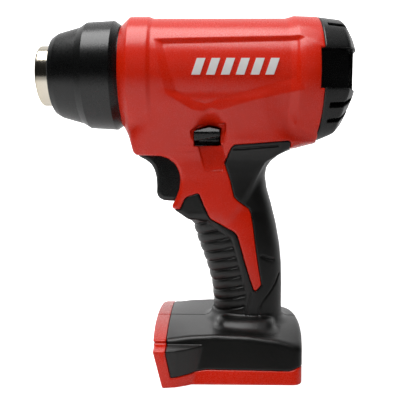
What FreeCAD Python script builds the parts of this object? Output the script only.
"""Cordless heat gun: parametric FreeCAD document.

Frame: air leaves along -X, +X runs to the rear intake cap, +Z is up (the battery foot is at
the bottom), -Y is the user's left. Millimetres. Shapes are drawn from the nozzle tip; every
sub-part is then placed seat_setback further forward, so the frame's origin is the centre of
the front of the nozzle's straight seat.
"""

import FreeCAD
import Part
import math
import os
import Sketcher

os.makedirs("parts", exist_ok=True)

V = FreeCAD.Vector
doc = FreeCAD.newDocument("heat_gun")

# ---------------------------------------------------------------- driving dimensions
SIZES = {
    "seat_setback": 3.0,
    "nozzle_radius": 16.0,
    "nozzle_wall": 1.0,
    "nozzle_length": 45.1,
    "nozzle_lip": 2.4,
    "bead_start": 15.0,
    "shroud_front": 7.6,
    "shroud_hole": 17.3,
    "shroud_max_radius": 28.8,
    "shroud_rear": 43.9,
    "barrel_front_radius": 30.1,
    "barrel_rear_radius": 31.6,
    "collar_front_radius": 31.0,
    "collar_rear_radius": 33.0,
    "barrel_wall": 3.0,
    "axis_drop": 2.1,
    "cap_start": 146.4,
    "cap_end": 163.0,
    "cap_radius": 32.8,
    "skin": 1.6,
    "wall": 3.8,
    "handle_width": 34.0,
    "foot_top": -131.6,
    "foot_bottom": -154.3,
    "foot_front": 62.6,
    "foot_rear": 140.0,
    "foot_half_width": 41.0,
    "flare": 4.5,
    "trigger_half_width": 11.4,
    "shuttle_half_length": 24.2,
    "motor_radius": 13.9,
    "motor_start": 106.0,
    "motor_length": 30.0,
    "shaft_radius": 1.15,
    "fan_radius": 24.2,
    "fan_start": 89.0,
    "fan_depth": 11.0,
    "duct_radius": 26.0,
    "sleeve_radius": 14.4,
    "screw_radius": 1.45,
    "screw_head_radius": 2.7,
    "boss_radius": 3.6,
    "badge_thickness": 0.6,
    "panel_depth": 1.4,
    "blade_thickness": 0.8,
    "board_thickness": 1.6,
}
sheet = doc.addObject("Spreadsheet::Sheet", "Sizes")
for row, (alias, value) in enumerate(SIZES.items(), 1):
    sheet.set("A%d" % row, alias.replace("_", " "))
    sheet.set("B%d" % row, repr(value))
    sheet.setAlias("B%d" % row, alias)
doc.recompute()


def size(alias):
    """A sheet size as a plain number, for shapes made with Part's own functions."""
    return float(sheet.get(alias))


class Dimension:
    """A length that knows both its value and its spreadsheet expression."""

    def __init__(self, value, text):
        self.value, self.text = value, text

    def _joined(self, sign, other, value):
        other_text = other.text if isinstance(other, Dimension) else repr(float(other))
        return Dimension(value, "(%s %s %s)" % (self.text, sign, other_text))

    def __add__(self, other):
        return self._joined("+", other, self.value + number(other))

    def __sub__(self, other):
        return self._joined("-", other, self.value - number(other))

    def __mul__(self, other):
        return self._joined("*", other, self.value * number(other))


def dim(alias):
    return Dimension(size(alias), "Sizes." + alias)


def number(length):
    return length.value if isinstance(length, Dimension) else float(length)


def bind(obj, prop, length):
    """Sets a property from a number or a Dimension."""
    if isinstance(length, Dimension):
        obj.setExpression(prop, length.text)
    else:
        setattr(obj, prop, length)


# ---------------------------------------------------------------- sub-parts in the document
def place(obj, drop=False):
    """Moves a sub-part forward by the setback and, with drop, down to the rear cap's axis."""
    base_x = round(obj.Placement.Base.x, 6)
    obj.setExpression("Placement.Base.x", "%r - Sizes.seat_setback" % base_x)
    if drop:
        obj.setExpression("Placement.Base.z", "-Sizes.axis_drop")


def add_shape(name, shape):
    """A sub-part whose shape is made with Part's own functions."""
    obj = doc.addObject("Part::Feature", name + "_shape")
    obj.Label = name
    obj.Shape = shape
    place(obj)


def new_body(name, drop=False):
    body = doc.addObject("PartDesign::Body", name + "_body")
    body.Label = name
    place(body, drop)
    return body


# ---------------------------------------------------------------- sketches
def origin_item(body, role):
    for item in body.Origin.OriginFeatures:
        if item.Role == role:
            return item
    raise RuntimeError("no origin item " + role)


def sketch(body, plane, name, offset=0.0, tilt=0.0):
    """A sketch on an origin plane, moved along its normal and tilted about its own X axis.

    The normals of the XY, XZ and YZ planes are +Z, -Y and +X.
    """
    drawing = body.newObject("Sketcher::SketchObject", name)
    drawing.AttachmentSupport = [(origin_item(body, plane + "_Plane"), "")]
    drawing.MapMode = "FlatFace"
    drawing.AttachmentOffset = FreeCAD.Placement(
        V(0, 0, number(offset)), FreeCAD.Rotation(V(1, 0, 0), tilt)
    )
    if isinstance(offset, Dimension):
        drawing.setExpression("AttachmentOffset.Base.z", offset.text)
    return drawing


def constrain(drawing, length, *constraint):
    index = drawing.addConstraint(Sketcher.Constraint(*constraint, number(length)))
    if isinstance(length, Dimension):
        drawing.setExpression("Constraints[%d]" % index, length.text)


def polygon(drawing, points):
    """A closed outline. Every corner is dimensioned from the sketch's origin."""
    count = len(points)
    corners = [V(number(x), number(y), 0) for x, y in points]
    for i in range(count):
        drawing.addGeometry(Part.LineSegment(corners[i], corners[(i + 1) % count]), False)
    for i in range(count):
        drawing.addConstraint(Sketcher.Constraint("Coincident", i, 2, (i + 1) % count, 1))
    for i, (x, y) in enumerate(points):
        constrain(drawing, x, "DistanceX", -1, 1, i, 1)
        constrain(drawing, y, "DistanceY", -1, 1, i, 1)


def circle(drawing, x, y, radius):
    centre = V(number(x), number(y), 0)
    index = drawing.addGeometry(Part.Circle(centre, V(0, 0, 1), number(radius)), False)
    constrain(drawing, x, "DistanceX", -1, 1, index, 3)
    constrain(drawing, y, "DistanceY", -1, 1, index, 3)
    constrain(drawing, radius, "Radius", index)


def rectangle(x_start, x_end, y_start, y_end):
    return [(x_start, y_start), (x_end, y_start), (x_end, y_end), (x_start, y_end)]


# ---------------------------------------------------------------- PartDesign features
def revolve(body, name, points, turn_name="revolution"):
    """Turns an XZ outline about the body's X axis."""
    drawing = sketch(body, "XZ", name)
    polygon(drawing, points)
    turn = body.newObject("PartDesign::Revolution", turn_name)
    turn.Profile = drawing
    turn.ReferenceAxis = (drawing, ["H_Axis"])
    turn.Angle = 360.0
    drawing.Visibility = False


def turned(name, points, drop=False):
    """A body of revolution about the barrel axis."""
    body = new_body(name, drop)
    revolve(body, name + "_profile", points)
    return body


def pad(body, drawing, length, both=False, reverse=False, name="pad"):
    result = body.newObject("PartDesign::Pad", name)
    result.Profile = drawing
    bind(result, "Length", length)
    result.Midplane = both
    result.Reversed = reverse
    return result


def pocket(body, drawing, length, both=False, reverse=False, name="pocket"):
    """Cuts against the sketch's normal, or along it with reverse. It must remove material."""
    doc.recompute()
    before = body.Shape.Volume
    result = body.newObject("PartDesign::Pocket", name)
    result.Profile = drawing
    bind(result, "Length", length)
    result.Midplane = both
    result.Reversed = reverse
    doc.recompute()
    if not body.Shape.Volume < before - 1e-3:
        raise RuntimeError("%s: %s cuts nothing" % (body.Label, name))
    return result


def pad_outline(body, plane, sketch_name, points, length, offset=0.0, **options):
    drawing = sketch(body, plane, sketch_name, offset)
    polygon(drawing, points)
    return pad(body, drawing, length, **options)


def cut_outline(body, plane, sketch_name, points, length, offset=0.0, **options):
    drawing = sketch(body, plane, sketch_name, offset)
    polygon(drawing, points)
    return pocket(body, drawing, length, **options)


def rod(body, sketch_name, y, z, radius, start, length, name="pad"):
    """A round pad running along +X from start."""
    drawing = sketch(body, "YZ", sketch_name, start)
    circle(drawing, y, z, radius)
    pad(body, drawing, length, name=name)


def bore(body, sketch_name, y, z, radius, start, length, name):
    """A round hole running along +X from start."""
    drawing = sketch(body, "YZ", sketch_name, start)
    circle(drawing, y, z, radius)
    return pocket(body, drawing, length, reverse=True, name=name)


def polar(body, original, count, name):
    """Repeats a feature evenly about the X axis."""
    pattern = body.newObject("PartDesign::PolarPattern", name)
    pattern.Originals = [original]
    pattern.Axis = (origin_item(body, "X_Axis"), [""])
    pattern.Angle = 360.0
    pattern.Occurrences = count
    body.Tip = pattern


def fillet_rim(body, fillet_radius, x, radius, name):
    """Rounds the circular edges about the X axis that have this x and radius."""
    doc.recompute()
    tip = body.Tip
    names = [
        "Edge%d" % i for i, edge in enumerate(tip.Shape.Edges, 1)
        if isinstance(edge.Curve, Part.Circle)
        and abs(edge.Curve.Center.x - x) < 0.05
        and abs(edge.Curve.Radius - radius) < 0.05
    ]
    if not names:
        raise RuntimeError("%s: no edge to fillet" % body.Label)
    result = body.newObject("PartDesign::Fillet", name)
    result.Base = (tip, names)
    bind(result, "Radius", fillet_radius)
    doc.recompute()
    if "Invalid" in result.State or result.Shape.isNull() or not result.Shape.isValid():
        raise RuntimeError("%s: fillet failed" % body.Label)


# ---------------------------------------------------------------- plain solids
ALONG_X = V(1, 0, 0)
ALONG_Y = V(0, 1, 0)


def cylinder(radius, length, base, direction):
    return Part.makeCylinder(radius, length, V(*base), direction)


def prism(corners, travel):
    return Part.Face(Part.makePolygon(corners + [corners[0]])).extrude(travel)


def prism_x(points, x_min, x_max):
    """A YZ outline extruded along X."""
    return prism([V(x_min, y, z) for y, z in points], V(x_max - x_min, 0, 0))


def prism_y(points, y_min, y_max):
    """An XZ outline extruded along Y."""
    return prism([V(x, y_min, z) for x, z in points], V(0, y_max - y_min, 0))


def prism_z(points, z_min, z_max):
    """An XY outline extruded along Z."""
    return prism([V(x, y, z_min) for x, y in points], V(0, 0, z_max - z_min))


def box(x_min, x_max, y_min, y_max, z_min, z_max):
    return Part.makeBox(x_max - x_min, y_max - y_min, z_max - z_min, V(x_min, y_min, z_min))


def box_pair(x_min, x_max, y_centre, y_half, z_min, z_max):
    """The same box on the right and on the left of the middle plane."""
    return [
        box(x_min, x_max, side * y_centre - y_half, side * y_centre + y_half, z_min, z_max)
        for side in (1, -1)
    ]


def fuse_all(shapes):
    return shapes[0].fuse(shapes[1:])


def mirrored(points):
    """Closes a right-hand XY outline with its mirror image on the left."""
    return points + [(x, -y) for x, y in reversed(points)]


def inward_normal(start, end, turn):
    along_x, along_y = end[0] - start[0], end[1] - start[1]
    length = math.hypot(along_x, along_y)
    return -along_y / length * turn, along_x / length * turn


def inset(points, depth):
    """Moves a closed outline inwards by depth, corner by corner."""
    if depth == 0:
        return points
    following = points[1:] + points[:1]
    area = sum(
        here[0] * after[1] - after[0] * here[1] for here, after in zip(points, following)
    )
    turn = 1.0 if area > 0 else -1.0
    moved = []
    for i, (x, y) in enumerate(points):
        first = inward_normal(points[i - 1], points[i], turn)
        second = inward_normal(points[i], following[i], turn)
        sum_x, sum_y = first[0] + second[0], first[1] + second[1]
        length = math.hypot(sum_x, sum_y)
        normal_x, normal_y = sum_x / length, sum_y / length
        cosine = first[0] * normal_x + first[1] * normal_y
        moved.append((x + normal_x * depth / cosine, y + normal_y * depth / cosine))
    return moved


def coil(pitch, length, radius, wire_radius, start):
    """A helical wire along +X from start."""
    helix = Part.makeHelix(pitch, length, radius)
    section = Part.Wire([Part.makeCircle(wire_radius, V(radius, 0, 0), V(0, 1, 0))])
    solid = Part.Wire(helix.Edges).makePipeShell([section], True, True)
    solid.rotate(V(0, 0, 0), V(0, 1, 0), 90)
    solid.translate(V(*start))
    return solid


# ---------------------------------------------------------------- outer form
# Each form takes a depth, by which its surface is moved inwards.
WALL, SKIN = size("wall"), size("skin")
DROP = size("axis_drop")
CAP_START = size("cap_start")

# barrel stations: x, radius, height of the centre
BARREL = [
    (44.3, 26.4, 0.0),
    (49.2, size("collar_front_radius") - 0.2, 0.0),
    (59.3, size("collar_front_radius"), -0.2),
    (61.4, size("barrel_front_radius"), -0.2),
    (130.0, size("barrel_rear_radius"), -1.6),
    (134.3, size("collar_rear_radius"), -1.9),
    (CAP_START - 0.1, size("collar_rear_radius") - 0.1, -DROP),
]


def barrel(depth):
    wires = [
        Part.Wire([Part.makeCircle(radius - depth, V(x, 0, z), ALONG_X)])
        for x, radius, z in BARREL
    ]
    return Part.makeLoft(wires, True, True)


# side outline (x, z) of the body under the barrel, from the chin round the trigger opening
# to the neck
UNDER = [
    (47.0, -14.0), (46.4, -27.4), (48.4, -33.0), (50.0, -38.0), (50.9, -41.0), (52.4, -42.7),
    (65.0, -43.0), (69.2, -44.3), (72.8, -47.2), (74.9, -51.3), (75.5, -55.5), (74.9, -60.7),
    (72.9, -65.7), (71.1, -69.0), (71.6, -70.6), (74.4, -72.6), (80.3, -76.6), (100.0, -76.6),
    (112.0, -60.0), (120.0, -46.0), (135.0, -37.0), (146.0, -33.0), (146.0, -14.0),
]
# the same outline (x, z) one wall thickness further in
UNDER_INSIDE = [
    (51.0, -14.0), (50.4, -27.4), (52.2, -33.0), (53.3, -37.0), (53.5, -39.0), (56.0, -39.2),
    (65.2, -39.3), (71.2, -41.0), (75.6, -44.6), (78.4, -50.0), (79.3, -55.5), (78.6, -61.3),
    (77.6, -65.5), (80.3, -72.8), (98.2, -72.8), (108.9, -57.8), (117.0, -43.4),
    (133.2, -33.6), (142.4, -30.2), (142.4, -14.0),
]
# cross-section of that body: height, half width
UNDER_HALF = [
    (-14.0, 27.6), (-22.0, 25.4), (-30.0, 22.3), (-38.0, 19.2), (-45.0, 17.3), (-56.0, 16.3),
    (-76.6, 15.6),
]
# right half (x, y) of the chin in plan, so that its front corners are round
CHIN_PLAN = [
    (45.0, 9.0), (46.6, 13.5), (49.5, 17.2), (54.0, 20.5), (60.0, 23.5), (70.0, 27.0),
    (150.0, 29.0),
]


def under(depth):
    outline = UNDER_INSIDE if depth == WALL else inset(UNDER, depth)
    profile = prism_y(outline, -40, 40)
    right = [(half - depth, z) for z, half in UNDER_HALF]
    section = prism_x(right + [(-y, z) for y, z in reversed(right)], 40, 150)
    plan = prism_z(mirrored([(x + depth * 0.8, y - depth) for x, y in CHIN_PLAN]), -90, -10)
    return profile.common(section).common(plan)


# handle and neck sections: height, front, rear, half width
HALF = size("handle_width") / 2.0
HANDLE = [
    (-26.0, 78.0, 147.0, 24.0),
    (-34.9, 78.0, 146.8, 21.0),
    (-37.2, 78.0, 140.3, 20.0),
    (-39.9, 78.0, 131.1, 18.9),
    (-41.6, 78.0, 127.4, 18.2),
    (-44.9, 78.0, 124.1, 17.6),
    (-48.7, 78.0, 121.9, 17.2),
    (-53.1, 78.0, 121.2, 16.9),
    (-60.0, 76.6, 122.2, HALF - 0.3),
    (-68.0, 74.8, 124.6, HALF - 0.3),
    (-72.4, 74.0, 125.7, HALF - 0.3),
    (-76.5, 80.3, 126.8, HALF - 0.3),
    (-80.0, 81.9, 127.6, HALF - 0.2),
    (-90.5, 85.3, 129.5, HALF),
    (-100.6, 89.2, 130.5, HALF),
    (-112.0, 92.4, 130.9, HALF),
    (-123.0, 93.6, 130.9, HALF + 0.3),
    (-134.0, 92.4, 131.4, HALF + 1.2),
    (-139.0, 92.2, 131.6, HALF + 1.4),
]


def ellipse_wire(z, front, rear, half_width):
    """A level ellipse, longer from front to rear than it is wide."""
    centre = V((front + rear) / 2.0, 0, z)
    return Part.Wire([Part.Ellipse(centre, (rear - front) / 2.0, half_width).toShape()])


def handle(depth):
    wires = [
        ellipse_wire(z, front + depth, rear - depth, half - depth)
        for z, front, rear, half in HANDLE
    ]
    return Part.makeLoft(wires, True, True)


FOOT_TOP, FOOT_BOTTOM = size("foot_top"), size("foot_bottom")
FOOT_FRONT, FOOT_REAR = size("foot_front"), size("foot_rear")
FOOT_HALF = size("foot_half_width")


def foot_flare(side, depth, bottom):
    """The flared front corner on one side: 1 is right, -1 is left."""
    flare = size("flare")
    front = FOOT_FRONT + 2.2 + depth
    rear = FOOT_FRONT + 28.5
    outline = [
        (front, side * (FOOT_HALF - 6)),
        (front, side * (FOOT_HALF + flare - depth)),
        (FOOT_FRONT + 12.0, side * (FOOT_HALF + flare * 0.86 - depth)),
        (FOOT_FRONT + 20.0, side * (FOOT_HALF + flare * 0.42 - depth)),
        (rear, side * (FOOT_HALF - depth)),
        (rear, side * (FOOT_HALF - 6)),
    ]
    slope = prism_x([
        (side * (FOOT_HALF - 3.0), -133.5),
        (side * (FOOT_HALF - 0.3 - depth), -134.6 - depth),
        (side * (FOOT_HALF + flare + 0.3 - depth), -138.4 - depth),
        (side * (FOOT_HALF + flare + 6), -138.4 - depth),
        (side * (FOOT_HALF + flare + 6), -128.0),
        (side * (FOOT_HALF - 3.0), -128.0),
    ], FOOT_FRONT - 5, FOOT_FRONT + 40)
    return prism_z(outline, bottom, -133.6).cut(slope)


def foot(depth):
    top = FOOT_TOP - depth
    bottom = FOOT_BOTTOM - 1.0 if depth else FOOT_BOTTOM
    right = [
        (FOOT_FRONT + depth, FOOT_HALF - depth),
        (FOOT_REAR - 9.0 - depth, FOOT_HALF - depth),
        (FOOT_REAR - 5.4 - depth, FOOT_HALF - 1.6 - depth),
        (FOOT_REAR - 3.6 - depth, FOOT_HALF - 5.5 - depth),
        (FOOT_REAR - 1.2 - depth, 22.0),
    ]
    left = [(x, -y) for x, y in reversed(right)]
    solid = prism_z(right + [(FOOT_REAR - depth, 0.0)] + left, bottom, top)
    # the front face leans back towards the bottom
    lean = prism_y([
        (FOOT_FRONT - 10, FOOT_BOTTOM - 5),
        (FOOT_FRONT + 6.5 + depth, FOOT_BOTTOM - 5),
        (FOOT_FRONT + 1.9 + depth, -137.5),
        (FOOT_FRONT + depth, FOOT_TOP + 1),
        (FOOT_FRONT - 10, FOOT_TOP + 1),
    ], -60, 60)
    solid = solid.cut(lean)
    # every top edge but the front one
    edges = [
        edge for edge in solid.Edges
        if abs(edge.BoundBox.ZMin - top) < 0.01 and abs(edge.BoundBox.ZMax - top) < 0.01
        and not abs(edge.BoundBox.XMax - FOOT_FRONT - depth) < 2.0
    ]
    # guards the rounding of the top edges: where it fails, the foot stays sharp
    try:
        rounded = solid.makeFillet(3.0, edges)
        if rounded.isValid():
            solid = rounded
    except Part.OCCError:
        pass
    for side in (1, -1):
        solid = solid.fuse(foot_flare(side, depth, bottom).cut(lean))
    return solid.removeSplitter()


def body_solid(depth):
    return barrel(depth).fuse([under(depth), handle(depth), foot(depth)])


# ---------------------------------------------------------------- shells
# side outline (x, z) of the overmould
GRIP = [
    (132.3, -38.7), (132.3, -35.9), (131.2, -35.1), (111.6, -36.7), (103.4, -37.3),
    (101.8, -38.8), (98.5, -46.6), (101.5, -55.4), (103.6, -64.2), (105.7, -66.3),
    (109.4, -68.9), (111.5, -70.5), (112.6, -73.1), (113.7, -78.9), (115.4, -92.1),
    (117.1, -102.7), (118.5, -110.7), (115.7, -113.9), (114.4, -113.4), (112.5, -108.0),
    (109.2, -97.4), (106.5, -87.9), (105.4, -84.4), (103.8, -82.6), (97.5, -79.2),
    (91.7, -76.1), (90.7, -74.8), (88.0, -69.0), (85.6, -63.3), (84.6, -62.5), (79.1, -64.4),
    (77.6, -65.9), (75.5, -70.9), (60.0, -71.3), (60.0, -131.0), (69.5, -131.0),
    (70.0, -138.0), (72.4, -149.4), (81.7, -148.6), (89.9, -147.4), (110.8, -147.6),
    (130.2, -147.9), (134.5, -146.4), (150.0, -146.2), (150.0, -38.9),
]
# upper edge of each grip groove: front (x, z), rear (x, z)
GRIP_GROOVES = [
    ((80.0, -81.0), (92.3, -77.6)), ((80.0, -86.2), (96.0, -81.6)),
    ((82.0, -91.2), (99.0, -86.2)), ((84.0, -96.2), (101.5, -91.1)),
    ((86.0, -101.2), (103.2, -96.3)), ((87.0, -106.4), (104.4, -101.6)),
    ((89.0, -111.4), (106.0, -106.7)), ((90.0, -116.4), (107.6, -111.9)),
    ((91.0, -121.4), (108.2, -117.6)),
]
# outline (x, z) of the sunk panel on each side
PANEL = [
    (65.8, 12.3), (133.4, 14.4), (133.4, -7.4), (115.6, -11.8), (92.2, -17.6), (89.3, -19.2),
    (81.7, -17.7), (73.2, -11.8), (67.8, 2.0),
]
# housing screws: x, z, y of the head's seat (the heads face right)
SCREWS = [
    (61.5, -32.0, 15.0), (104.0, -34.4, 14.0), (122.0, -35.2, 13.5), (86.5, -73.2, 9.0),
    (113.9, -101.2, 10.0), (104.0, -122.0, 9.0),
]
SHUTTLE = [  # x, z
    (82.8, -30.6), (84.3, -30.0), (90.4, -28.4), (95.9, -29.6), (96.0, -35.5), (82.8, -35.5),
]
PANEL_DEPTH = size("panel_depth")
SCREW_RADIUS, HEAD_RADIUS = size("screw_radius"), size("screw_head_radius")
TRIGGER_HALF = size("trigger_half_width")
BAY_FLOOR = -142.0
BOARD_FRONT = 110.5
BOARD_HALF = 9.0
BOARD_BOTTOM, BOARD_TOP = -96.0, -50.0


def both_flanks(points, y_inner):
    """An XZ outline extruded outwards from y_inner on each side."""
    return prism_y(points, -40, -y_inner).fuse(prism_y(points, y_inner, 40))


def grip_skin(outer, under_skin):
    """The overmould's layer, with grooves across the front of the handle."""
    skin = outer.cut(under_skin).common(prism_y(GRIP, -60, 60))
    grooves = [
        prism_y([front, rear, (rear[0] + 0.4, rear[1] - 1.5), (front[0] + 0.4, front[1] - 1.5)],
                -30, 30)
        for front, rear in GRIP_GROOVES
    ]
    return skin.cut(fuse_all(grooves).cut(handle(0.8)))


def housing_cavity():
    cavity = barrel(size("barrel_wall")).common(box(48.5, 150, -60, 60, -60, 60))
    cavity = cavity.fuse([
        cylinder(25.65, 6.0, (43.0, 0, 0), ALONG_X),
        cylinder(27.4, 12.0, (47.4, 0, 0), ALONG_X),
        cylinder(29.7, 14.0, (140.0, 0, -DROP), ALONG_X),
    ])
    inner_handle = handle(WALL).common(box(60, 148, -60, 60, -139.0, 0))
    lower = under(WALL).fuse([inner_handle, foot(WALL)])
    return cavity.fuse(lower.common(box(40, 145.9, -60, 60, -139.5, 0)))


def housing_inside(under_skin):
    """Two rings round the fan and motor, the screw bosses and the board's slotted blocks."""
    rings = [
        barrel(1.0).common(box(x_min, x_max, -40, 40, -40, 40))
        .cut(cylinder(radius, 6, (x_min - 2, 0, 0), ALONG_X))
        for x_min, x_max, radius in (
            (99.6, 101.2, size("duct_radius") + 0.1), (109.0, 110.6, 24.6),
        )
    ]
    bosses = [
        cylinder(size("boss_radius"), 34.0, (x, -17.0, z), ALONG_Y) for x, z, seat in SCREWS
    ]
    blocks = []
    for z in (-93.0, -80.0):
        blocks += box_pair(108.9, 113.7, 11.2, 3.0, z - 1.5, z + 1.5)
    return fuse_all(rings + bosses + blocks).common(under_skin)


def battery_bay():
    """The opening for the pack, less a rail along each side."""
    bay = box(FOOT_FRONT - 8, 133.0, -33, 33, FOOT_BOTTOM - 3, BAY_FLOOR)
    rails = box_pair(FOOT_FRONT - 9, 134.0, 30.2, 2.9, FOOT_BOTTOM - 4, -150.9)
    return bay.cut(fuse_all(rails))


def trigger_opening():
    slot = box(50.0, 87.4, -TRIGGER_HALF - 0.3, TRIGGER_HALF + 0.3, -67.4, -43.1)
    return slot.fuse(box(78.0, 87.4, -12.5, 12.5, -62.4, -49.6)).removeSplitter()


def screw_holes():
    holes = []
    for x, z, seat in SCREWS:
        holes.append(cylinder(SCREW_RADIUS + 0.05, seat + 7.0, (x, -6.2, z), ALONG_Y))
        holes.append(cylinder(HEAD_RADIUS + 0.3, 40.0, (x, seat, z), ALONG_Y))
    return holes


def largest(shape):
    return max(shape.Solids, key=lambda solid: solid.Volume)


def build_shells():
    outer, under_skin = body_solid(0), body_solid(SKIN)
    skin = grip_skin(outer, under_skin)
    stem_hole = box(115.9, 124.1, -8.1, 8.1, -143.0, -139.0)
    trigger_slot = trigger_opening()
    shuttle_hole = prism_y(inset(SHUTTLE, -0.25), -40, 40)
    lens_window = prism_y(
        [(45.9, -31.2), (48.6, -40.3), (53.7, -39.2), (53.7, -30.0), (50.0, -30.0)], -6.1, 6.1
    )
    panel = both_flanks(PANEL, 12).cut(barrel(PANEL_DEPTH).fuse(under(PANEL_DEPTH)))
    # a shallow scoop round each end of the shuttle, and a channel in the surface below it
    scoop = prism_y([
        (80.8, -30.5), (86.5, -22.0), (96.9, -21.2), (97.9, -25.9), (96.5, -37.7),
        (81.8, -38.5),
    ], -40, 40).cut(barrel(1.0).fuse(under(1.2)))
    channel = prism_y(
        [(84.3, -39.0), (97.0, -38.5), (99.1, -44.0), (98.1, -50.1), (87.4, -50.1)], -40, 40
    ).cut(under(0.8).fuse(handle(0.8)))
    notch = box(144.4, 148.0, -40, 40, -10.0, 9.5)
    board_gap = box(
        BOARD_FRONT - 0.1, BOARD_FRONT + size("board_thickness") + 0.1,
        -BOARD_HALF - 0.1, BOARD_HALF + 0.1, BOARD_BOTTOM - 0.2, BOARD_TOP + 0.2,
    )
    behind = box(CAP_START - 0.1, 170.0, -60, 60, -60, 60)
    holes = screw_holes()
    shell = outer.cut(skin).cut(housing_cavity()).fuse(housing_inside(under_skin))
    shell = shell.cut([
        battery_bay(), stem_hole, trigger_slot, shuttle_hole, lens_window, panel, scoop,
        channel, notch, board_gap, behind,
    ] + holes)
    skin_cuts = holes + [shuttle_hole, trigger_slot, behind]
    for side, y_min, y_max in (("left", -90, 0), ("right", 0, 90)):
        half = box(0, 200, y_min, y_max, -200, 90)
        add_shape("housing_" + side, largest(shell.common(half)))
        add_shape("overmould_" + side, largest(skin.cut(skin_cuts).common(half)))


build_shells()

# ---------------------------------------------------------------- nozzle and heater
# Profiles of turned parts are (x, radius).
nozzle_radius, nozzle_length = dim("nozzle_radius"), dim("nozzle_length")
nozzle_wall, nozzle_lip = dim("nozzle_wall"), dim("nozzle_lip")
nozzle_bore = nozzle_radius - nozzle_wall
bead_start, shroud_rear = dim("bead_start"), dim("shroud_rear")
sleeve_radius = dim("sleeve_radius")
INSULATOR_REAR = 46.3
INSULATOR_RADIUS = 23.5

nozzle = turned("nozzle_tube", [
    (0.0, nozzle_radius - nozzle_lip - 0.8), (0.0, nozzle_radius),
    (bead_start, nozzle_radius), (bead_start + 0.6, nozzle_radius + 0.6),
    (bead_start + 1.8, nozzle_radius + 0.6), (bead_start + 2.4, nozzle_radius),
    (shroud_rear, nozzle_radius), (shroud_rear, 22.0), (nozzle_length, 22.0),
    (nozzle_length, nozzle_bore), (nozzle_wall, nozzle_bore),
    (nozzle_wall, nozzle_radius - nozzle_lip - 0.8),
])
fillet_rim(nozzle, nozzle_lip, 0.0, nozzle_radius.value, "rolled_lip")
fillet_rim(nozzle, nozzle_lip - nozzle_wall, nozzle_wall.value, nozzle_bore.value, "lip_inside")

shroud_front, shroud_hole = dim("shroud_front"), dim("shroud_hole")
shroud = turned("nozzle_shroud", [
    (shroud_front, shroud_hole), (shroud_front, 20.3), (11.2, 22.5), (22.4, 25.6),
    (24.4, 26.9), (27.0, 28.0), (40.5, dim("shroud_max_radius")), (shroud_rear, 26.5),
    (shroud_rear, 25.5), (47.55, 25.5), (47.55, 27.0), (49.2, 27.0), (49.2, 24.2),
    (shroud_rear, 24.2), (shroud_rear, shroud_hole), (42.6, shroud_hole),
    (42.6, 24.4), (40.0, 26.6), (27.6, 25.9), (25.2, 24.6), (22.2, 23.3), (11.6, 20.4),
    (9.8, 19.2), (9.8, shroud_hole),
])
fillet_rim(shroud, 1.6, shroud_front.value, 20.3, "front_edge")
fillet_rim(shroud, 1.0, 27.0, 28.0, "shoulder_edge")

turned("insulator_ring", rectangle(nozzle_length, INSULATOR_REAR, 15.4, INSULATOR_RADIUS))
turned("heater_sleeve", rectangle(10.5, 58.0, sleeve_radius - 0.6, sleeve_radius))

# outlet grille: a disc with a centre hole and three rings of holes
GRILLE_FRONT = 7.5
GRILLE_RINGS = [(5.6, 7), (9.0, 12), (12.4, 16)]  # ring radius, number of holes
grille = new_body("outlet_grille")
rod(grille, "disc", 0, 0, nozzle_bore - 0.05, GRILLE_FRONT, 3.0)
bore(grille, "centre_hole", 0, 0, 2.2, GRILLE_FRONT, 3.5, "centre_opening")
for i, (ring_radius, count) in enumerate(GRILLE_RINGS):
    hole = bore(grille, "hole_%d" % i, 0, ring_radius, 1.5, GRILLE_FRONT, 3.5, "opening_%d" % i)
    polar(grille, hole, count, "ring_%d" % i)

# heater former: two crossed blades between two end rings
former = new_body("heater_former")
for blade_name, plane in (("upright_blade", "XZ"), ("level_blade", "XY")):
    pad_outline(former, plane, blade_name, rectangle(12.0, 56.0, -12.0, 12.0), 1.0, both=True)
for ring_name, x in (("front_ring", 12.0), ("rear_ring", 54.8)):
    revolve(former, ring_name, rectangle(x, x + 1.2, 11.0, sleeve_radius - 0.65),
            ring_name + "_turn")

add_shape("heater_coil", coil(
    pitch=3.0, length=36.0, radius=12.6, wire_radius=0.4, start=(16.0, 0, 0)
))

cutout = new_body("thermal_cutout")
pad_outline(cutout, "XZ", "case", rectangle(56.0, 61.0, 3.0, 8.0), 6.0, both=True)
rod(cutout, "cap", 0, 5.5, 2.0, 61.0, 1.2, "dome")

# ---------------------------------------------------------------- fan and motor
duct_radius = dim("duct_radius")
duct = turned("fan_duct", [
    (INSULATOR_REAR, sleeve_radius + 0.1), (INSULATOR_REAR, INSULATOR_RADIUS),
    (47.5, INSULATOR_RADIUS), (47.5, 15.7), (66.0, 16.6), (86.0, duct_radius),
    (103.0, duct_radius), (103.0, duct_radius - 1.0), (86.4, duct_radius - 1.0),
    (66.3, 15.5), (60.0, sleeve_radius + 0.1),
])
# opening in the underside for the heater leads
cut_outline(duct, "XY", "lead_hole", rectangle(60.4, 65.4, -4.4, 4.4), 20.0,
            name="lead_opening")

fan_start = dim("fan_start")
fan_rear = fan_start + dim("fan_depth")
fan = turned("fan_impeller", [
    (fan_start, 1.2), (fan_start, 4.0), (fan_start + 1.5, 6.6), (fan_start + 3.0, 7.4),
    (fan_rear, 7.4), (fan_rear, 1.2),
])
BLADE_ROOT = 6.6
fan_blade = pad_outline(fan, "XY", "blade_section", [
    (fan_start + 0.6, -4.2), (fan_start + 1.9, -4.2), (fan_start + 10.4, 4.2),
    (fan_start + 9.1, 4.2),
], dim("fan_radius") - BLADE_ROOT, BLADE_ROOT, name="blade")
polar(fan, fan_blade, 9, "blades")

shaft_radius = dim("shaft_radius")
shaft_bore = shaft_radius + 0.06
motor_radius, motor_start = dim("motor_radius"), dim("motor_start")
motor_end = motor_start + dim("motor_length")
turned("motor_shaft", rectangle(87.0, 141.5, 0.0, shaft_radius))

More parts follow.
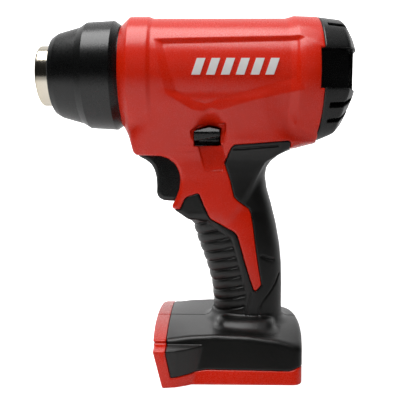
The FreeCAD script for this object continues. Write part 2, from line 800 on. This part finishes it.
can = turned("motor_can", [
    (motor_start - 2.0, shaft_bore), (motor_start - 2.0, 4.0), (motor_start, 4.0),
    (motor_start, motor_radius), (motor_end, motor_radius), (motor_end, motor_radius - 1.0),
    (motor_start + 1.0, motor_radius - 1.0), (motor_start + 1.0, shaft_bore),
])
vent = bore(can, "vent", 0, 8.6, 1.7, motor_start - 0.5, 2.5, "vent_opening")
polar(can, vent, 6, "vents")

turned("motor_endcap", [
    (motor_end, shaft_bore), (motor_end, motor_radius - 0.2),
    (motor_end + 2.6, motor_radius - 1.2), (motor_end + 2.6, 4.0), (motor_end + 4.6, 4.0),
    (motor_end + 4.6, shaft_bore),
])

# motor magnets: a tube parted by two gaps, which lie on the right and the left
magnets = new_body("motor_magnets")
revolve(magnets, "magnet_profile", rectangle(
    motor_start + 5.0, motor_start + 24.0, motor_radius - 3.6, motor_radius - 1.05
))
for gap_name, y_min, y_max in (("upper_gap", 6.0, 16.0), ("lower_gap", -16.0, -6.0)):
    gap = rectangle(motor_start + 4.0, motor_start + 25.0, y_min, y_max)
    cut_outline(magnets, "XY", gap_name, gap, 6.0, both=True, name=gap_name + "_cut")

rotor = turned("motor_rotor", rectangle(
    motor_start + 4.5, motor_start + 24.5, shaft_radius, 9.7
))
slot = cut_outline(rotor, "YZ", "slot", rectangle(-0.7, 0.7, 6.0, 12.0), 22.0,
                   motor_start + 4.0, reverse=True, name="slot_cut")
polar(rotor, slot, 5, "slots")

commutator = turned("motor_commutator", rectangle(
    motor_start + 24.5, motor_start + 29.6, shaft_radius, 3.3
))
gap = cut_outline(commutator, "YZ", "gap", rectangle(-0.2, 0.2, 2.6, 4.0), 5.2,
                  motor_start + 24.6, reverse=True, name="gap_cut")
polar(commutator, gap, 5, "gaps")

add_shape("motor_brushes", fuse_all(box_pair(
    motor_start.value + 25.4, motor_start.value + 28.6, 6.2, 2.8, -1.8, 1.8
)))

# motor mount: an outer ring, six spokes and a hub round the can
mount = turned("motor_mount", rectangle(103.0, 108.95, 24.4, 26.6))
spoke = pad_outline(mount, "YZ", "spoke", rectangle(-1.1, 1.1, 14.2, 25.0), 2.4, 106.5,
                    name="spoke")
polar(mount, spoke, 6, "spokes")
revolve(mount, "hub", rectangle(106.2, 112.4, motor_radius + 0.02, motor_radius + 1.8),
        "hub_turn")

# ---------------------------------------------------------------- rear cap
cap_start, cap_end, cap_radius = dim("cap_start"), dim("cap_end"), dim("cap_radius")
cap = turned("rear_cap", [
    (141.0, 29.6), (cap_start, 29.6), (cap_start, cap_radius), (156.8, cap_radius - 1.3),
    (158.2, cap_radius - 2.2), (161.2, cap_radius - 6.6), (162.4, cap_radius - 9.4),
    (cap_end, cap_radius - 12.8), (cap_end, 0.0), (cap_end - 2.2, 0.0),
    (cap_end - 2.2, cap_radius - 12.8), (159.4, cap_radius - 9.0), (156.4, cap_radius - 4.4),
    (cap_start, cap_radius - 4.2), (141.0, cap_radius - 4.2),
], drop=True)
# the side intakes: a step cut in each side down to a flat floor, open to the front and rear
for side, y_min, y_max in (("left", -40.0, -23.6), ("right", 23.6, 40.0)):
    cut_outline(cap, "XZ", "recess_" + side, rectangle(144.3, 170.0, -7.9, 11.6),
                y_max - y_min, -y_max, reverse=True, name="side_recess_" + side)
FLOOR_THICKNESS = 2.0
for side, y in (("left", -22.6), ("right", 22.6)):
    pad_outline(cap, "XZ", "floor_" + side, rectangle(142.0, 159.6, -9.9, 13.6),
                FLOOR_THICKNESS, FLOOR_THICKNESS / 2 - y, reverse=True,
                name="recess_floor_" + side)
for i in range(4):
    x = 148.2 + 2.7 * i
    cut_outline(cap, "XZ", "intake_slot_%d" % i, rectangle(x, x + 1.3, -6.2, 9.9),
                60.0, both=True, name="intake_opening_%d" % i)
# slots along the meridians, by their angle from the top: one above and two below each intake
for i, angle in enumerate((34.0, 119.5, 136.0)):
    for k, sign in enumerate((-1, 1)):
        drawing = sketch(cap, "XY", "meridian_slot_%d_%d" % (i, k), tilt=sign * angle)
        polygon(drawing, rectangle(149.6, 162.0, -1.35, 1.35))
        pocket(cap, drawing, 40.0, reverse=True, name="meridian_%d_%d" % (i, k))
# level slots in the rear face, from the bottom up
for i, half_length in enumerate((9.0, 12.0, 12.0, 12.0, 9.0)):
    z = -10.8 + 5.4 * i
    cut_outline(cap, "YZ", "rear_slot_%d" % i,
                rectangle(-half_length, half_length, z - 1.1, z + 1.1),
                8.0, 158.0, reverse=True, name="rear_vent_%d" % i)

SCREEN_RINGS = [(4.0, 8), (8.0, 15), (12.0, 22), (16.0, 29)]  # ring radius, number of holes
screen = turned("intake_screen", [
    (151.4, 0.0), (151.4, 20.6), (150.0, 20.6), (150.0, 21.4), (152.2, 21.4), (152.2, 0.0),
], drop=True)
for i, (ring_radius, count) in enumerate(SCREEN_RINGS):
    hole = bore(screen, "disc_hole_%d" % i, 0, ring_radius, 1.3, 151.0, 1.6,
                "disc_opening_%d" % i)
    polar(screen, hole, count, "disc_ring_%d" % i)

# ---------------------------------------------------------------- switch and board
PLUNGER_Z = -55.5
SWITCH_REAR = 105.0
switch = new_body("switch_body")
pad_outline(switch, "XZ", "case", rectangle(87.5, SWITCH_REAR, -46.0, -66.6), 17.0, both=True)
bore(switch, "plunger_hole", 0, PLUNGER_Z, 2.3, 87.0, 11.5, "plunger_bore")
for tab_name, y in (("tab_left", -5.0), ("tab_right", 5.0)):
    pad_outline(switch, "YZ", tab_name, rectangle(y - 1.5, y + 1.5, -50.0, -49.2), 4.0,
                SWITCH_REAR, name=tab_name + "_pad")

board_thickness = dim("board_thickness")
board = new_body("control_board")
pad_outline(board, "YZ", "outline",
            rectangle(-BOARD_HALF, BOARD_HALF, BOARD_BOTTOM, BOARD_TOP),
            board_thickness, BOARD_FRONT)

# heatsink on the board's rear face: a base plate and four fins
SINK_BASE = 1.2
sink = new_body("heatsink")
pad_outline(sink, "YZ", "base", rectangle(-6.0, 6.0, -71.0, -57.0), SINK_BASE,
            board_thickness + BOARD_FRONT, name="base_pad")
for i in range(4):
    y = -5.4 + 3.6 * i
    pad_outline(sink, "YZ", "fin_%d" % i, rectangle(y - 0.5, y + 0.5, -71.0, -57.0), 2.2,
                board_thickness + (BOARD_FRONT + SINK_BASE), name="fin_pad_%d" % i)

# transistor and capacitor on the board's front face
TRANSISTOR_THICKNESS = 4.5
transistor = new_body("power_transistor")
pad_outline(transistor, "YZ", "tab", rectangle(-5.0, 5.0, -94.0, -84.6),
            TRANSISTOR_THICKNESS, BOARD_FRONT - TRANSISTOR_THICKNESS)
CAPACITOR_LENGTH = 9.5
CAPACITOR_RADIUS = 4.0
capacitor_front = BOARD_FRONT - CAPACITOR_LENGTH
capacitor = new_body("board_capacitor")
rod(capacitor, "can", 0, -77.0, CAPACITOR_RADIUS, capacitor_front, CAPACITOR_LENGTH)
fillet_rim(capacitor, 0.6, capacitor_front, CAPACITOR_RADIUS, "can_edge")

# ---------------------------------------------------------------- trigger, shuttle and light
TRIGGER = [  # side outline: x, z
    (53.9, -43.4), (57.1, -45.2), (59.8, -47.4), (61.5, -50.4), (62.5, -54.2), (62.8, -58.9),
    (62.6, -62.6), (63.7, -65.2), (66.4, -66.7), (71.4, -67.0), (80.0, -67.0), (80.0, -43.4),
]
TRIGGER_PLAN = [  # right half in plan: x, y
    (50.0, TRIGGER_HALF - 6.0), (56.0, TRIGGER_HALF - 3.0), (62.0, TRIGGER_HALF - 1.6),
    (64.0, TRIGGER_HALF - 0.5), (67.0, TRIGGER_HALF), (90.0, TRIGGER_HALF),
]


def trigger_shape():
    """A hollow trigger, open to the rear, with a wing at the rear of each side."""
    solid = prism_y(TRIGGER, -TRIGGER_HALF, TRIGGER_HALF)
    solid = solid.common(prism_z(mirrored(TRIGGER_PLAN), -90, -30))
    solid = solid.fuse(box_pair(79.9, 81.0, 10.5, 1.7, -62.0, -50.0))
    return solid.cut(box(68.0, 95.0, -8.8, 8.8, -64.4, -46.4)).removeSplitter()


add_shape("trigger", trigger_shape())
plunger = new_body("trigger_plunger")
rod(plunger, "rod", 0, PLUNGER_Z, 2.2, 68.0, 23.0)
add_shape("trigger_spring", coil(
    pitch=3.0, length=18.0, radius=4.2, wire_radius=0.45, start=(68.5, 0, PLUNGER_Z)
))

# lock shuttle: a cross bar with four upright grip grooves in each end
shuttle_half = dim("shuttle_half_length")
shuttle = new_body("lock_shuttle")
pad_outline(shuttle, "XZ", "bar", SHUTTLE, shuttle_half * 2.0, both=True)
for i, x in enumerate((86.2, 88.6, 91.0, 93.4), 1):
    for side, y in (("left", -shuttle_half.value), ("right", shuttle_half.value)):
        groove_name = "grip_%d%s" % (i, side)
        cut_outline(shuttle, "XY", groove_name, rectangle(x - 0.4, x + 0.4, y - 0.5, y + 0.5),
                    14.0, -40.0, reverse=True, name=groove_name + "_cut")

lens = new_body("led_lens")
pad_outline(lens, "XZ", "lens_profile", [
    (47.0, -31.4), (49.7, -39.5), (53.6, -38.9), (53.6, -30.6), (50.0, -30.3),
], 12.0, both=True)
led_board = new_body("led_board")
pad_outline(led_board, "YZ", "outline", rectangle(-6.0, 6.0, -38.6, -31.0), 1.2, 53.7)

# ---------------------------------------------------------------- battery bay
BLOCK_UNDERSIDE = -144.6
BLOCK_STEP = 116.0
block = new_body("terminal_block")
pad_outline(block, "XZ", "side", [
    (94.0, BAY_FLOOR), (94.0, BLOCK_UNDERSIDE), (BLOCK_STEP, BLOCK_UNDERSIDE),
    (BLOCK_STEP, -151.4), (128.0, -151.4), (128.0, BAY_FLOOR),
], 44.0, both=True)
pad_outline(block, "XZ", "stem", rectangle(116.0, 124.0, BAY_FLOOR, -138.4), 16.0, both=True,
            name="stem_pad")
blade_half = size("blade_thickness") / 2
add_shape("terminal_blades", Part.makeCompound([
    box(98.0, BLOCK_STEP, y - blade_half, y + blade_half, -150.2, BLOCK_UNDERSIDE)
    for y in (-14.0, -4.6, 4.6, 14.0)
]))


# ---------------------------------------------------------------- screws
def screw(x, z, seat):
    shank = cylinder(SCREW_RADIUS, seat + 5.8, (x, -5.8, z), ALONG_Y)
    head = cylinder(HEAD_RADIUS, 2.0, (x, seat, z), ALONG_Y)
    socket = cylinder(1.2, 1.4, (x, seat + 1.2, z), ALONG_Y)
    return shank.fuse(head).cut(socket)


add_shape("housing_screws", Part.makeCompound([screw(*row) for row in SCREWS]))


# ---------------------------------------------------------------- leads
def lead(points, radius):
    """A round wire along a smooth curve through the points."""
    corners = [V(*point) for point in points]
    curve = Part.BSplineCurve()
    curve.interpolate(corners)
    tangent = curve.tangent(curve.FirstParameter)[0]
    section = Part.Wire([Part.makeCircle(radius, corners[0], tangent)])
    return Part.Wire([curve.toShape()]).makePipeShell([section], True, True)


def add_leads(name, path, radius, y_offset, trims):
    """Two parallel leads along an (x, z) path, trimmed flush with the faces at their ends."""
    add_shape(name, Part.makeCompound([
        lead([(x, y, z) for x, z in path], radius).cut(trims) for y in (-y_offset, y_offset)
    ]))


add_leads(
    "battery_leads",
    [(120.0, -139.4), (121.0, -128.0), (122.0, -115.0), (120.6, -102.0), (117.0, -94.0),
     (111.6, -90.0)],
    radius=1.1, y_offset=3.0,
    trims=[box(115.0, 125.0, -9.0, 9.0, -142.0, -138.4),
           box(109.0, 112.1, -9.0, 9.0, -96.0, -80.0)],
)
add_leads(
    "motor_leads",
    [(111.3, -50.6), (113.0, -42.0), (115.4, -31.0), (121.0, -23.0), (131.0, -18.4),
     (139.6, -16.2), (142.2, -12.6), (138.4, -9.6)],
    radius=0.8, y_offset=4.0,
    trims=[box(109.0, 114.0, -9.0, 9.0, -54.0, -50.0),
           cylinder(13.9, 8.6, (130.0, 0, 0), ALONG_X)],
)
add_leads(
    "heater_leads",
    [(90.6, -46.6), (84.0, -39.0), (76.0, -33.5), (68.0, -27.0), (63.6, -20.0),
     (62.9, -15.4), (60.4, -11.2), (55.4, -9.0)],
    radius=0.8, y_offset=2.6,
    trims=[box(86.0, 96.0, -9.0, 9.0, -50.0, -46.0),
           box(50.0, 56.0, -9.0, 9.0, -14.0, -4.0)],
)

# ---------------------------------------------------------------- side badges
# a plain decorative mark: six equal leaning bars in a level row
BAR_PITCH = 7.2
bars = []
for i in range(6):
    x = 81.5 + BAR_PITCH * i
    bars.append([(x, -3.6), (x + 4.2, -3.6), (x + 6.9, 4.4), (x + 2.7, 4.4)])
badge = barrel(PANEL_DEPTH - size("badge_thickness")).cut(barrel(PANEL_DEPTH))
for side, y_min, y_max in (("left", -40, -15), ("right", 15, 40)):
    add_shape("side_badge_" + side, Part.makeCompound([
        badge.common(prism_y(bar, y_min, y_max)) for bar in bars
    ]))

# ---------------------------------------------------------------- export
doc.recompute()
for obj in doc.Objects:
    if "Invalid" in obj.State or "Error" in obj.State:
        raise RuntimeError("%s is %s" % (obj.Label, obj.State))
subparts = [
    obj for obj in doc.Objects
    if obj.isDerivedFrom("PartDesign::Body") or obj.TypeId == "Part::Feature"
]
for obj in subparts:
    if obj.Shape.isNull() or not obj.Shape.isValid() or not obj.Shape.Solids:
        raise RuntimeError("%s has no valid solid" % obj.Label)
for obj in subparts:
    obj.Shape.exportStep("parts/%s.step" % obj.Label)
